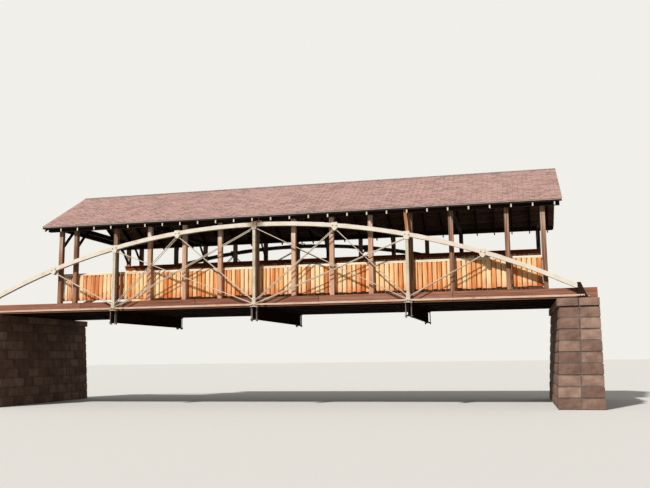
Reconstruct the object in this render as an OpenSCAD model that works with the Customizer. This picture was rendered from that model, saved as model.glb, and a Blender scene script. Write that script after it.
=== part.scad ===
// Covered bridge: a timber roof and walkway carried by two iron bowstring arch trusses.
// X runs along the bridge, Y across it and Z up.
// The origin is on the ground, below the middle of the span.

/* [Trusses] */
// Length of one of the four panels of a truss
panel_l = 4800; // [4000:50:5800]
// Distance between the planes of the two trusses
truss_gap = 5200; // [4300:50:6300]
// Rise of the arch from its heels to its crown
arch_rise = 2250; // [1850:25:2700]
// Depth of the channels of the arch
arch_depth = 125; // [100:5:160]
// Width of the arch over its two channels
arch_width = 130; // [110:5:170]
// Thickness of the arch's iron
arch_plate = 12; // [8:1:20]
// Diameter of the diagonal rods
rod_d = 26; // [18:1:32]
// Height of the flat tie bars
tie_bar_h = 45; // [35:5:80]
// Thickness of the flat tie bars
tie_bar_t = 16; // [10:1:24]

/* [Floor] */
// Ground to the underside of the floor beams
clearance = 2700; // [2200:50:3300]
// Depth of the iron floor beams
floor_beam_h = 380; // [310:10:460]
// Width of the flanges of the floor beams
floor_beam_w = 120; // [100:5:150]
// Depth of the timber stringers
stringer_h = 236; // [190:2:300]
// Thickness of the deck planks
deck_t = 70; // [50:5:100]
// Height of the board along each edge of the deck
fascia_h = 300; // [240:5:306]

/* [Walkway] */
// Length of the roof
roof_l = 16760; // [14000:20:18400]
// Side of the square timber posts
post_w = 140; // [115:5:170]
// Distance from post to post along the bridge
post_pitch = 1220; // [1020:10:1300]
// Height of the front railing from the deck to the top of its cap
rail_h = 994; // [830:2:1200]
// Height of the rear board wall from the deck to the top of its cap
rear_wall_h = 1760; // [1460:10:1980]
// Clear height between the arch's crown casting and the rafters
roof_room = 25; // [10:5:120]
// Slope of the roof in degrees
roof_pitch = 29; // [25:1:35]
// Depth of the rafters
rafter_h = 140; // [115:5:190]

/* [Abutments] */
// Length of each abutment along the bridge
abutment_l = 1100; // [900:20:1400]
// How far an abutment reaches past the truss on each side
abutment_side = 400; // [320:10:600]

/* [Hidden] */

iron = "#b9b3a3";
dark_iron = "#3d3a36";
old_timber = "#a08c80";
red_board = "#b4673f";
floor_timber = "#7d5b4c";
roof_brown = "#7c5a52";
stone = "#8a6d60";

round_fn = 24;
arc_fn = 720;

// Truss levels and the arc of the arch
truss_y = truss_gap / 2;
half_span = 2 * panel_l;
beam_top = clearance + floor_beam_h;
casting_seat = 80;
flange_share = 0.36;
tie_z = beam_top + casting_seat;
heel_rise = 260;
heel_z = tie_z + heel_rise;
crown_z = heel_z + arch_rise;
arch_r = (half_span * half_span + arch_rise * arch_rise) / (2 * arch_rise);
function arch_z(x) = crown_z - arch_r + sqrt(arch_r * arch_r - x * x);
function arch_under(x) = arch_z(x) - arch_depth / 2 * arch_r / sqrt(arch_r * arch_r - x * x);

// Castings on the arch and at the feet of the posts
clip_l = 180;
clip_wall = 14;
clip_drop = 95;
clip_share = 0.54;
lug_w = 50;
seat_gap = 0.3;
foot_l = 120;
foot_top = tie_z + 210;
rod_gap = 8;
outer_layer = arch_width / 2 + clip_wall - rod_d / 2 - rod_gap / 2;
inner_layer = outer_layer - rod_d - rod_gap;
foot_y = outer_layer + rod_d / 2 + 10;
rod_drop = 30;
short_aim = 90;
long_aim = 10;
post_x = [-panel_l, 0, panel_l];
middle_clip_x = [for (s = [-1, 1], p = [0, 1]) s * panel_l * (p == 0 ? clip_share : 2 - clip_share)];

// Iron posts and floor beams
iron_post_w = 90;
iron_post_d = arch_width;
iron_t = 10;
beam_reach = 170;
beam_flange_t = 18;
beam_web_t = 12;
hanger_d = 25;
hanger_nut = 44;
hanger_x = (max(floor_beam_w, foot_l) + hanger_nut) / 2 + 2;
hanger_y = 48;
hanger_edge = 35;
hanger_plate_w = 150;
hanger_plate_t = 20;
hanger_nut_h = 24;
hanger_end = 45;
foot_flange_t = 22;

// Floor and railing
board_t = 40;
fascia_t = 40;
shoe_flange = 30;
shoe_gap = 5;
deck_y = truss_y - foot_y - shoe_flange - shoe_gap - fascia_t;
post_y = deck_y - post_w / 2;
stringer_w = 75;
stringer_n = 7;
deck_under = beam_top + stringer_h;
deck_z = deck_under + deck_t;
deck_end = half_span + abutment_l / 2;
rail_y = post_y - post_w / 2;
cap_w = 140;
cap_t = 45;
nailer_h = 90;
nailer_t = 40;
board_gap = 75;
low_nailer_z = 90;

// Roof, which starts nearer to one end of the span than to the other
roof_shift = 930;
roof_left = roof_shift - roof_l / 2;
roof_right = roof_shift + roof_l / 2;
end_post = 550;
left_portal = roof_left + end_post;
right_portal = roof_right - end_post;
left_gap = 550;
right_gap = 1030;
spare_pitch = 0.75;
post_first = ceil((left_portal + left_gap) / post_pitch + spare_pitch);
post_last = floor((right_portal - right_gap) / post_pitch - spare_pitch);
post_row = concat(
    [left_portal, left_portal + left_gap],
    [for (n = [post_first : post_last]) n * post_pitch],
    [right_portal - right_gap, right_portal]
);
slope = tan(roof_pitch);
plate_h = 140;
plate_end = 60;
seat_cut = 40;
casting_top = crown_z + arch_depth / 2 + 2 * clip_wall;
casting_y = truss_y + arch_width / 2 + clip_wall;
plate_top = casting_top + roof_room + (casting_y - deck_y) * slope + seat_cut;
plate_under = plate_top - plate_h;
post_h = plate_under - deck_z;
tie_w = 90;
brace_w = 90;
brace_t = 40;
brace_room = 72;
brace_leg = post_h - rear_wall_h - brace_room;
rafter_t = 40;
rafter_pitch = post_pitch / 2;
rafter_shift = -50;
eave = 260;
eave_y = deck_y + eave;
ridge_t = 40;
ridge_h = 190;
roof_board_t = 22;
shingle_t = 12;
shingle_over = 15;
function rafter_under(y) = plate_top - seat_cut + (deck_y - y) * slope;
function rafter_top(y) = rafter_under(y) + rafter_h / cos(roof_pitch);

module front() mirror([0, 1, 0]) children();

// Draws a profile of the Y and Z plane and extrudes it along X from x0 by length
module along_x(x0, length) translate([x0, 0, 0]) rotate([90, 0, 90]) linear_extrude(length) children();

// Draws a profile of the X and Z plane and extrudes it along Y from y0 by length
module along_y(y0, length) translate([0, y0 + length, 0]) rotate([90, 0, 0]) linear_extrude(length) children();

module box(x0, x1, y0, y1, z0, z1) translate([x0, y0, z0]) cube([x1 - x0, y1 - y0, z1 - z0]);

// Part of the arch's curve: a band between two distances from its centreline
module arch_band(low, high, y0, y1)
    along_y(y0, y1 - y0) intersection() {
        translate([0, crown_z - arch_r]) difference() {
            circle(r = arch_r + high, $fn = arc_fn);
            circle(r = arch_r + low, $fn = arc_fn);
        }
        translate([-half_span, heel_z - arch_depth]) square([2 * half_span, arch_rise + 2 * arch_depth]);
    }

// Abutments

module abutment() color(stone) {
    batter = 180;
    cap_h = 250;
    cap_over = 50;
    top = beam_top - cap_h;
    face = half_span - abutment_l / 2;
    back = half_span + abutment_l / 2;
    side = truss_y + abutment_side;
    along_y(-side, 2 * side)
        polygon([[face - batter, 0], [back, 0], [back, top], [face, top]]);
    box(face - cap_over, back, -side - cap_over, side + cap_over, top, beam_top);
}
module right_abutment() abutment();
module left_abutment() mirror([1, 0, 0]) abutment();

// Iron trusses

// A casting at the end of a truss: a base plate, a bearing plate for the arch, and three ribs behind it.
// The tie bars are fastened to the outsides of its two outer ribs.
module heel_shoe() {
    base_t = 30;
    base_front = 90;
    base_back = 330;
    rib_t = 26;
    rib_l = 280;
    rib_shoulder = 220;
    bearing_t = 40;
    head_l = 90;
    head = arch_z(half_span) + arch_depth / 2 + 45;
    translate([0, truss_y, 0]) {
        base_w = foot_y + shoe_flange;
        box(half_span - base_front, half_span + base_back, -base_w, base_w, beam_top, beam_top + base_t);
        box(half_span, half_span + bearing_t, -foot_y, foot_y, beam_top, head);
        box(half_span, half_span + head_l, -foot_y, foot_y, head - bearing_t, head);
        for (y = [-foot_y, -rib_t / 2, foot_y - rib_t])
            along_y(y, rib_t) polygon([
                [half_span, beam_top], [half_span + rib_l, beam_top],
                [half_span + rib_shoulder, tie_z + tie_bar_h], [half_span + head_l, head], [half_span, head]
            ]);
    }
}
module heel_shoes() color(dark_iron) {
    heel_shoe();
    mirror([1, 0, 0]) heel_shoe();
}
module rear_heel_shoes() heel_shoes();
module front_heel_shoes() front() heel_shoes();

// One channel of the arch, its web outside and its flanges turned in towards the other channel.
// Its toes are cut flat where they stand in the heel shoes.
module arch_channel() {
    outer = arch_width / 2;
    inner = outer - flange_share * arch_width;
    low = arch_r - arch_depth / 2;
    high = arch_r + arch_depth / 2;
    intersection() {
        translate([0, 0, crown_z - arch_r]) rotate([-90, 0, 0]) rotate_extrude($fn = arc_fn) polygon([
            [low, outer], [high, outer], [high, inner], [high - arch_plate, inner],
            [high - arch_plate, outer - arch_plate], [low + arch_plate, outer - arch_plate],
            [low + arch_plate, inner], [low, inner]
        ]);
        box(-half_span, half_span, 0, arch_width, heel_z - arch_depth / 3, crown_z + arch_depth);
    }
}
module arch() color(iron) translate([0, truss_y, 0]) {
    arch_channel();
    mirror([0, 1, 0]) arch_channel();
}
module rear_arch() arch();
module front_arch() front() arch();

module tie_bars() color(iron) translate([0, truss_y, 0]) {
    reach = half_span + 180;
    for (s = [0, 1])
        mirror([0, s, 0])
            box(-reach, reach, foot_y, foot_y + tie_bar_t, tie_z - tie_bar_h / 2, tie_z + tie_bar_h / 2);
}
module rear_tie_bars() tie_bars();
module front_tie_bars() front() tie_bars();

module foot_casting(x) translate([x, truss_y, 0]) difference() {
    flange_l = hanger_x + hanger_edge;
    gusset_t = 22;
    gusset_h = 150;
    union() {
        box(-foot_l / 2, foot_l / 2, -foot_y, foot_y, beam_top, foot_top);
        box(-flange_l, flange_l, -foot_y, foot_y, beam_top, beam_top + foot_flange_t);
        along_y(-gusset_t / 2, gusset_t) polygon([
            [-flange_l, beam_top + foot_flange_t], [flange_l, beam_top + foot_flange_t],
            [foot_l / 2, beam_top + gusset_h], [-foot_l / 2, beam_top + gusset_h]
        ]);
    }
    hanger_rods(hanger_d + 3);
}
module foot_castings() color(iron) for (x = post_x) foot_casting(x);
module rear_foot_castings() foot_castings();
module front_foot_castings() front() foot_castings();

// Four long bolts that clamp a foot casting and a plate to the floor beam
module hanger_rods(d) {
    low = clearance - hanger_plate_t - hanger_end;
    high = beam_top + foot_flange_t + hanger_end;
    for (x = [-hanger_x, hanger_x], y = [-hanger_y, hanger_y])
        translate([x, y, low]) cylinder(d = d, h = high - low, $fn = round_fn);
}
module hanger(x) translate([x, truss_y, 0]) {
    plate_l = hanger_x + hanger_edge;
    low_nut = clearance - hanger_plate_t - hanger_nut_h;
    hanger_rods(hanger_d);
    box(-plate_l, plate_l, -hanger_plate_w / 2, hanger_plate_w / 2, clearance - hanger_plate_t, clearance);
    for (sx = [-hanger_x, hanger_x], y = [-hanger_y, hanger_y], z = [low_nut, beam_top + foot_flange_t])
        translate([sx, y, z]) cylinder(d = hanger_nut, h = hanger_nut_h, $fn = 6);
}
module hangers() color(iron) for (x = post_x) hanger(x);
module rear_hangers() hangers();
module front_hangers() front() hangers();

module iron_post(x) {
    top = arch_under(x) - clip_drop;
    translate([x, truss_y, foot_top]) linear_extrude(top - foot_top) {
        for (s = [0, 1])
            mirror([0, s])
                translate([-iron_post_w / 2, iron_post_d / 2 - iron_t]) square([iron_post_w, iron_t]);
        square([iron_t, iron_post_d], center = true);
    }
}
module iron_posts() color(iron) for (x = post_x) iron_post(x);
module rear_iron_posts() iron_posts();
module front_iron_posts() front() iron_posts();

// A casting that wraps the arch, with a lug below it that takes the upper ends of the rods.
// Over a post the lug is as wide as the post's head.
function is_post(x) = max([for (p = post_x) p == x ? 1 : 0]) == 1;
module clip_body(x) {
    half_y = arch_width / 2 + clip_wall;
    half_l = clip_l / 2;
    half_lug = (is_post(x) ? iron_post_w + 20 : lug_w) / 2;
    top = arch_z(x) + arch_depth / 2 + 2 * clip_wall;
    shoulder = arch_under(x) - clip_wall;
    foot = arch_under(x) - clip_drop;
    along_y(-half_y, 2 * half_y) polygon([
        [x - half_l, top], [x - half_l, shoulder], [x - half_lug, foot],
        [x + half_lug, foot], [x + half_l, shoulder], [x + half_l, top]
    ]);
}
module arch_clip(x) translate([0, truss_y, 0]) difference() {
    clip_body(x);
    half_d = arch_depth / 2 + seat_gap;
    half_w = arch_width / 2 + seat_gap;
    arch_band(-half_d, half_d, -half_w, half_w);
}

// A seat beside the crown's clip, raised over the arch, with an upright bolt that has a cross head
module crown_bolt() {
    seat_l = 250;
    seat_t = 14;
    block_l = 24;
    bolt_x = 140;
    bolt_d = 40;
    cross_l = 110;
    cross_h = 26;
    half_w = arch_width / 2;
    bolt_room = 40;
    bolt_top = rafter_top(truss_y + half_w) - bolt_room;
    translate([0, truss_y, 0]) {
        box(clip_l / 2 - block_l, seat_l, -half_w, half_w, casting_top, casting_top + seat_t);
        difference() {
            box(seat_l - block_l, seat_l, -half_w, half_w, crown_z, casting_top + seat_t);
            arch_band(-arch_depth, arch_depth / 2 + seat_gap, -half_w - 1, half_w + 1);
        }
        translate([bolt_x, 0, casting_top]) cylinder(d = bolt_d, h = bolt_top - casting_top, $fn = round_fn);
        box(bolt_x - cross_l / 2, bolt_x + cross_l / 2, -bolt_d / 2, bolt_d / 2, bolt_top - cross_h, bolt_top);
    }
}
module arch_clips() color(iron) {
    for (x = concat(post_x, middle_clip_x)) arch_clip(x);
    crown_bolt();
}
module rear_arch_clips() arch_clips();
module front_arch_clips() front() arch_clips();

// A pair of rods from a clip on the arch at top_x to the foot of the post at foot_x
module rod_pair(top_x, foot_x, aim, layer) {
    top = [top_x, arch_under(top_x) - rod_drop];
    foot = [foot_x, tie_z + aim];
    run = top - foot;
    angle = atan2(run[1], run[0]);
    translate([0, truss_y, 0]) difference() {
        for (y = [-layer, layer])
            translate([foot[0], y, foot[1]]) rotate([0, 90 - angle, 0]) cylinder(d = rod_d, h = norm(run), $fn = round_fn);
        clip_body(top_x);
        box(foot_x - foot_l / 2, foot_x + foot_l / 2, -foot_y, foot_y, beam_top, foot_top);
    }
}

// The rods of the two panels on the right of the middle post
module right_rods() color(iron) {
    clip_x = panel_l * clip_share;
    rod_pair(0, panel_l, long_aim, inner_layer);
    rod_pair(panel_l, 0, long_aim, outer_layer);
    rod_pair(clip_x, 0, short_aim, outer_layer);
    rod_pair(clip_x, panel_l, short_aim, inner_layer);
    rod_pair(2 * panel_l - clip_x, panel_l, short_aim, outer_layer);
}
// The rods on the left lie in the other layers, so that both sets pass at the middle post
module left_rods() color(iron) {
    clip_x = panel_l * clip_share;
    rod_pair(0, -panel_l, long_aim, outer_layer);
    rod_pair(-panel_l, 0, long_aim, inner_layer);
    rod_pair(-clip_x, 0, short_aim, inner_layer);
    rod_pair(-clip_x, -panel_l, short_aim, outer_layer);
    rod_pair(clip_x - 2 * panel_l, -panel_l, short_aim, inner_layer);
}
module rear_rods_left() left_rods();
module rear_rods_right() right_rods();
module front_rods_left() front() left_rods();
module front_rods_right() front() right_rods();

// Floor

module floor_beam(x) color(dark_iron) translate([x, truss_y + beam_reach, clearance]) rotate([90, 0, 0])
    linear_extrude(2 * (truss_y + beam_reach)) {
        for (z = [0, floor_beam_h - beam_flange_t])
            translate([-floor_beam_w / 2, z]) square([floor_beam_w, beam_flange_t]);
        translate([-beam_web_t / 2, 0]) square([beam_web_t, floor_beam_h]);
    }
module floor_beam_left() floor_beam(-panel_l);
module floor_beam_middle() floor_beam(0);
module floor_beam_right() floor_beam(panel_l);

module stringers() color(floor_timber) {
    pitch = (2 * deck_y - stringer_w) / (stringer_n - 1);
    for (n = [0 : stringer_n - 1])
        translate([-deck_end, n * pitch - deck_y, beam_top]) cube([2 * deck_end, stringer_w, stringer_h]);
}

module deck() color(floor_timber) box(-deck_end, deck_end, -deck_y, deck_y, deck_under, deck_z);

module fascia() color(floor_timber) box(-deck_end, deck_end, deck_y, deck_y + fascia_t, deck_z - fascia_h, deck_z);
module rear_fascia() fascia();
module front_fascia() front() fascia();

// Walkway sides

rail_left = left_portal - post_w / 2;
rail_right = right_portal + post_w / 2;

module railing_boards(height) color(red_board)
    box(rail_left, rail_right, rail_y - board_t, rail_y, deck_z + board_gap, deck_z + height - cap_t);
module rear_railing_boards() railing_boards(rear_wall_h);
module front_railing_boards() front() railing_boards(rail_h);

// The cap on top of the boards, and the two nailers on their inside
module hand_rail(height) color(old_timber) {
    inner = rail_y - board_t;
    cap_under = deck_z + height - cap_t;
    box(rail_left, rail_right, rail_y - cap_w, rail_y, cap_under, cap_under + cap_t);
    box(rail_left, rail_right, inner - nailer_t, inner, cap_under - nailer_h, cap_under);
    box(rail_left, rail_right, inner - nailer_t, inner, deck_z + low_nailer_z, deck_z + low_nailer_z + nailer_h);
}
module rear_hand_rail() hand_rail(rear_wall_h);
module front_hand_rail() front() hand_rail(rail_h);

module roof_posts() color(old_timber)
    for (x = post_row) translate([x - post_w / 2, post_y - post_w / 2, deck_z]) cube([post_w, post_w, post_h]);
module rear_roof_posts() roof_posts();
module front_roof_posts() front() roof_posts();

module plate() color(old_timber)
    box(roof_left + plate_end, roof_right - plate_end, deck_y - plate_h, deck_y, plate_under, plate_top);
module rear_plate() plate();
module front_plate() front() plate();

// Roof

tie_row = [for (n = [0 : len(post_row) - 1]) if (n == 0 || n % 2 == 1) post_row[n]];
tie_y = deck_y - plate_h;

module tie_beams() color(old_timber)
    for (x = tie_row) box(x - tie_w / 2, x + tie_w / 2, -tie_y, tie_y, plate_under, plate_top);

module knee_braces() color(old_timber) {
    cut = brace_w * sqrt(2);
    for (x = tie_row)
        along_x(x - brace_t / 2, brace_t) polygon([
            [rail_y, plate_under - brace_leg], [rail_y, plate_under - brace_leg + cut],
            [rail_y - brace_leg + cut, plate_under], [rail_y - brace_leg, plate_under]
        ]);
}
module rear_knee_braces() knee_braces();
module front_knee_braces() front() knee_braces();

module rafter() along_x(-rafter_t / 2, rafter_t) polygon([
    [ridge_t / 2, rafter_under(ridge_t / 2)],
    [deck_y - seat_cut / slope, plate_top],
    [deck_y, plate_top],
    [deck_y, rafter_under(deck_y)],
    [eave_y, rafter_under(eave_y)],
    [eave_y, rafter_top(eave_y)],
    [ridge_t / 2, rafter_top(ridge_t / 2)]
]);
rafter_first = ceil((roof_left + rafter_t - rafter_shift) / rafter_pitch);
rafter_last = floor((roof_right - rafter_t - rafter_shift) / rafter_pitch);
function rafter_x(n) = n * rafter_pitch + rafter_shift;
module rafters() color(old_timber)
    for (n = [rafter_first : rafter_last]) translate([rafter_x(n), 0, 0]) rafter();
module rear_rafters() rafters();
module front_rafters() front() rafters();

// A leaning board that stands on the clip of the right post and is nailed to the side of the rafter over it
module eave_strut() color(red_board) {
    strut_w = 100;
    strut_t = 40;
    foot_x = panel_l + 20;
    foot_z = arch_z(panel_l) + arch_depth / 2 + 2 * clip_wall;
    top_x = rafter_x(round(panel_l / rafter_pitch)) - rafter_t / 2;
    top_z = rafter_top(truss_y + strut_t / 2);
    front() along_y(truss_y - strut_t / 2, strut_t) polygon([
        [foot_x - strut_w / 2, foot_z], [foot_x + strut_w / 2, foot_z],
        [top_x, rafter_under(truss_y + strut_t / 2)], [top_x, top_z], [top_x - strut_w, top_z]
    ]);
}

module ridge_board() color(old_timber)
    box(roof_left + plate_end, roof_right - plate_end, -ridge_t / 2, ridge_t / 2, rafter_top(ridge_t / 2) - ridge_h, rafter_top(ridge_t / 2));

// A layer of the roof that lies between two heights over the rafters
module roof_layer(low, high, over) {
    drop = 1 / cos(roof_pitch);
    along_x(roof_left - over, roof_l + 2 * over) polygon([
        [0, rafter_top(0) + low * drop], [eave_y + over, rafter_top(eave_y + over) + low * drop],
        [eave_y + over, rafter_top(eave_y + over) + high * drop], [0, rafter_top(0) + high * drop]
    ]);
}
module roof_boards() color(old_timber) roof_layer(0, roof_board_t, 0);
module rear_roof_boards() roof_boards();
module front_roof_boards() front() roof_boards();

module shingles() color(roof_brown) roof_layer(roof_board_t, roof_board_t + shingle_t, shingle_over);
module rear_shingles() shingles();
module front_shingles() front() shingles();

left_abutment();
right_abutment();
front_heel_shoes();
rear_heel_shoes();
front_arch();
rear_arch();
front_tie_bars();
rear_tie_bars();
front_foot_castings();
rear_foot_castings();
front_iron_posts();
rear_iron_posts();
front_arch_clips();
rear_arch_clips();
front_rods_left();
front_rods_right();
rear_rods_left();
rear_rods_right();
floor_beam_left();
floor_beam_middle();
floor_beam_right();
front_hangers();
rear_hangers();
stringers();
deck();
front_fascia();
rear_fascia();
front_railing_boards();
rear_railing_boards();
front_hand_rail();
rear_hand_rail();
front_roof_posts();
rear_roof_posts();
front_plate();
rear_plate();
tie_beams();
front_knee_braces();
rear_knee_braces();
front_rafters();
rear_rafters();
eave_strut();
ridge_board();
front_roof_boards();
rear_roof_boards();
front_shingles();
rear_shingles();
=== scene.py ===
# %% [markdown]
# # A covered bridge hung from iron bowstring arches
#
# The bridge is a timber walkway with a shingled gable roof. Two iron arches outside its railings
# carry it. The construction comes in as a fixed frame of named pieces, all in metres, with X along
# the bridge, Y across it and Z up. This lesson gives each of those pieces its finish, and builds
# what is too small or too many for the frame: boards, planks, shingles, stones, nuts and bolts.
# The front of the bridge is the side of the camera, at negative Y.

# %% Load the frame
import bmesh
import bpy
import math
import numpy as np
from mathutils import Matrix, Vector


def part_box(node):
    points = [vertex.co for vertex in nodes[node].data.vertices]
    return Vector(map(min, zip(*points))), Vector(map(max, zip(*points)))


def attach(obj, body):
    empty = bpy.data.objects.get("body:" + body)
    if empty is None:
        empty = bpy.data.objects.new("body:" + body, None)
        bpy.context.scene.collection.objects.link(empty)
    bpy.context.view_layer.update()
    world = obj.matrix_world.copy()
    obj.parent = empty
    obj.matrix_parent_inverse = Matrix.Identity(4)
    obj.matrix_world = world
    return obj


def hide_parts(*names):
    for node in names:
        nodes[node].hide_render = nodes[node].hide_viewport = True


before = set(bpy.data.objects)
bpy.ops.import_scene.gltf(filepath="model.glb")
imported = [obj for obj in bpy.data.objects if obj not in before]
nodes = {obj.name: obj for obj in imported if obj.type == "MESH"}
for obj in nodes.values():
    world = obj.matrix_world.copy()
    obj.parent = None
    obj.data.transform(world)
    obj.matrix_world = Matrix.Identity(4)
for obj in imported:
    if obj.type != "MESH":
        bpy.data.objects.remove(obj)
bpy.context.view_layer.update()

# %% [markdown]
# ## The camera
#
# A photograph fixes where its camera stood: the rows of posts, the curve of the arch and the eaves
# of the roof all meet the picture in one way only. A camera can be placed by eye, but on a bridge
# this long an error of half a degree shows at both ends. So the place and the aim below were found
# by fitting them to those lines. The camera stands 1.5 m over the ground, 23 m in front of the
# bridge, right of its middle, and looks a little up and to the left.

# %% Camera
CAMERA_PLACE = (7.834, -25.835, 1.506)
CAMERA_YAW = math.radians(13.452)
CAMERA_PITCH = math.radians(8.209)
CAMERA_ROLL = math.radians(-0.693)
LENS_MM = 43.53
SENSOR_MM = 36
CAMERA_REACH = 500

bpy.ops.object.select_all(action="DESELECT")
bpy.ops.object.camera_add()
camera = bpy.context.object
camera.name = "camera"
camera.data.sensor_width = SENSOR_MM
camera.data.lens = LENS_MM
camera.data.clip_end = CAMERA_REACH
aim = Matrix.Rotation(CAMERA_YAW, 4, "Z") @ Matrix.Rotation(math.pi / 2 + CAMERA_PITCH, 4, "X")
roll = Matrix.Rotation(CAMERA_ROLL, 4, "Z")
camera.matrix_world = Matrix.Translation(CAMERA_PLACE) @ aim @ roll
bpy.context.scene.camera = camera
print("camera at", CAMERA_PLACE, "with a lens of", LENS_MM, "mm")

# %% [markdown]
# ## Colours and nodes
#
# Paint charts and colour pickers give sRGB values, and the renderer works in linear light. Each
# colour could be worked out by hand, but then nobody could find it on a chart again. So all colours
# stay as they are read, and one function turns them.

# %% Colour helper
def linear(hex_colour):
    """Turns an sRGB colour such as "#c9a198" into linear RGBA."""
    channels = [int(hex_colour[i:i + 2], 16) / 255 for i in (1, 3, 5)]
    return [c / 12.92 if c <= 0.04045 else ((c + 0.055) / 1.055) ** 2.4 for c in channels] + [1]


print("mid grey #808080 is", round(linear("#808080")[0], 3), "in linear light")

# %% [markdown]
# Every finish below is a handful of shader nodes, which a maker would place and link by hand. One
# function adds a node: its settings, its values and its links in one call. So a finish is a short
# list of such calls, and what makes the pattern stays easy to read. Patterns are sized in
# millimetres, as on the real surface.

# %% Node and material helpers
def add_node(tree, kind, inputs=None, stops=None, **settings):
    """Adds a shader node. An input is a value or another node's socket, and stops are the places
    and colours of a colour ramp."""
    new = tree.nodes.new("ShaderNode" + kind)
    for name, value in settings.items():
        setattr(new, name, value)
    for name, value in (inputs or {}).items():
        if isinstance(value, bpy.types.NodeSocket):
            tree.links.new(value, new.inputs[name])
        else:
            new.inputs[name].default_value = value
    if stops:
        points = new.color_ramp.elements
        while len(points) < len(stops):
            points.new(1)
        for point, (place, colour) in zip(points, stops):
            point.position = place
            point.color = linear(colour)
    return new


def spots(size_mm):
    """The scale of a noise whose spots are about this many millimetres wide."""
    return 1000 / size_mm


def new_material(name, **shader):
    """A material with one Principled shader, whose uniform values are set on its own sockets."""
    material = bpy.data.materials.new(name)
    material.use_nodes = True
    surface = material.node_tree.nodes["Principled BSDF"]
    for socket, value in shader.items():
        surface.inputs[socket.replace("_", " ")].default_value = value
    return material, material.node_tree, surface


print("a noise of 10 mm has a scale of", spots(10))

# %% [markdown]
# ## Light, floor and backdrop
#
# The real bridge stands in low sun that comes from the front left, and little light comes up from
# below, so its boards are bright and its underside is almost black. Three lamps could light it from
# all sides, but the shade under the roof and the floor would be lost. One large soft sun and a weak
# white sky keep it. Sky and floor are shown paler to the camera and to reflections than they
# light, so that the background is pale and the shade stays deep.

# %% Sun and sky
SUN_ELEVATION = math.radians(40)
SUN_LEFT_OF_FRONT = math.radians(24)
SUN_STRENGTH = 4.4
SUN_SOFTNESS = math.radians(2.5)
SKY_STRENGTH = 0.3
BACKDROP = "#f1efe9"

bpy.ops.object.light_add(type="SUN")
sun = bpy.context.object
sun.name = "sun"
sun.data.energy = SUN_STRENGTH
sun.data.angle = SUN_SOFTNESS
sun.rotation_euler = (math.pi / 2 - SUN_ELEVATION, 0, -SUN_LEFT_OF_FRONT)

world = bpy.data.worlds.new("studio")
bpy.context.scene.world = world
world.use_nodes = True
sky = world.node_tree
sky.nodes.clear()


def seen_directly(tree):
    """1 for what the camera sees, also in reflections and through glass, and 0 for light."""
    rays = add_node(tree, "LightPath")
    seen = add_node(tree, "Math", {
        0: rays.outputs["Is Camera Ray"], 1: rays.outputs["Is Glossy Ray"]}, operation="MAXIMUM")
    return add_node(tree, "Math", {
        0: seen.outputs[0], 1: rays.outputs["Is Transmission Ray"]},
        operation="MAXIMUM").outputs[0]


lamp = add_node(sky, "Background", {"Color": linear("#ffffff"), "Strength": SKY_STRENGTH})
shown = add_node(sky, "Background", {"Color": linear(BACKDROP), "Strength": 1})
both = add_node(sky, "MixShader", {
    0: seen_directly(sky), 1: lamp.outputs[0], 2: shown.outputs[0]})
add_node(sky, "OutputWorld", {"Surface": both.outputs[0]})
print("sun of", SUN_STRENGTH, "and sky of", SKY_STRENGTH)

# %% [markdown]
# The floor is one plain sheet on the ground, so large that its far edge melts into the backdrop.
# Its paint is matt, because a floor that shines would draw the bridge a second time. What it throws
# back up is darker and browner than what it shows, as from open ground.

# %% Floor
FLOOR_SIZE = 400
FLOOR_COLOUR = "#cfccc5"
FLOOR_BOUNCE = "#6a6359"

bpy.ops.object.select_all(action="DESELECT")
bpy.ops.mesh.primitive_plane_add(size=FLOOR_SIZE, location=(0, 0, 0))
floor = bpy.context.object
floor.name = "studio_floor"

# Matt floor paint: an even pale ground that mirrors nothing
floor_paint, tree, surface = new_material("studio_floor_paint", Roughness=1.0)
floor_tone = add_node(tree, "MixRGB", {
    "Fac": seen_directly(tree), "Color1": linear(FLOOR_BOUNCE), "Color2": linear(FLOOR_COLOUR)})
tree.links.new(floor_tone.outputs[0], surface.inputs["Base Color"])
floor.data.materials.append(floor_paint)
bpy.context.scene.view_settings.view_transform = "Standard"
print("floor of", FLOOR_SIZE, "m")

# %% [markdown]
# ## Working by hand, in code
#
# Each new piece below begins as a block or another primitive and is shaped in edit mode or with a
# modifier, as a modeller does by hand. A mesh could also be written point by point, but then nobody
# could see how the shape came about. The first helpers start a block between two corners, and move
# a piece with its place put into its mesh, so that its origin stays the frame's.

# %% Helpers for one block
def choose(piece):
    """Makes a piece the active one and the only one selected."""
    bpy.ops.object.select_all(action="DESELECT")
    piece.select_set(True)
    bpy.context.view_layer.objects.active = piece


def move_to(piece, turn=(0, 0, 0), place=(0, 0, 0)):
    """Turns and moves a piece, and puts both into its mesh."""
    choose(piece)
    piece.rotation_euler = turn
    piece.location = place
    bpy.ops.object.transform_apply(location=True, rotation=True, scale=True)


def add_block(name, low, high):
    """Adds a block between two corners. Its place is in its mesh and its origin is the frame's."""
    bpy.ops.object.select_all(action="DESELECT")
    bpy.ops.mesh.primitive_cube_add(size=1)
    block = bpy.context.object
    block.name = name
    block.scale = [b - a for a, b in zip(low, high)]
    move_to(block, place=[(a + b) / 2 for a, b in zip(low, high)])
    return block


print("block helpers ready")

# %% [markdown]
# In edit mode a modeller clicks on the edges to work on. Code can't click, and the numbers of edges
# change with every step, so these helpers pick them by where they are and which way they run. A
# direction counts as along an axis from 0.9 of its length, and a place as reached within 1 mm.

# %% Helpers for edit mode
ALONG_AXIS = 0.9
NEAR = 0.001


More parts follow.
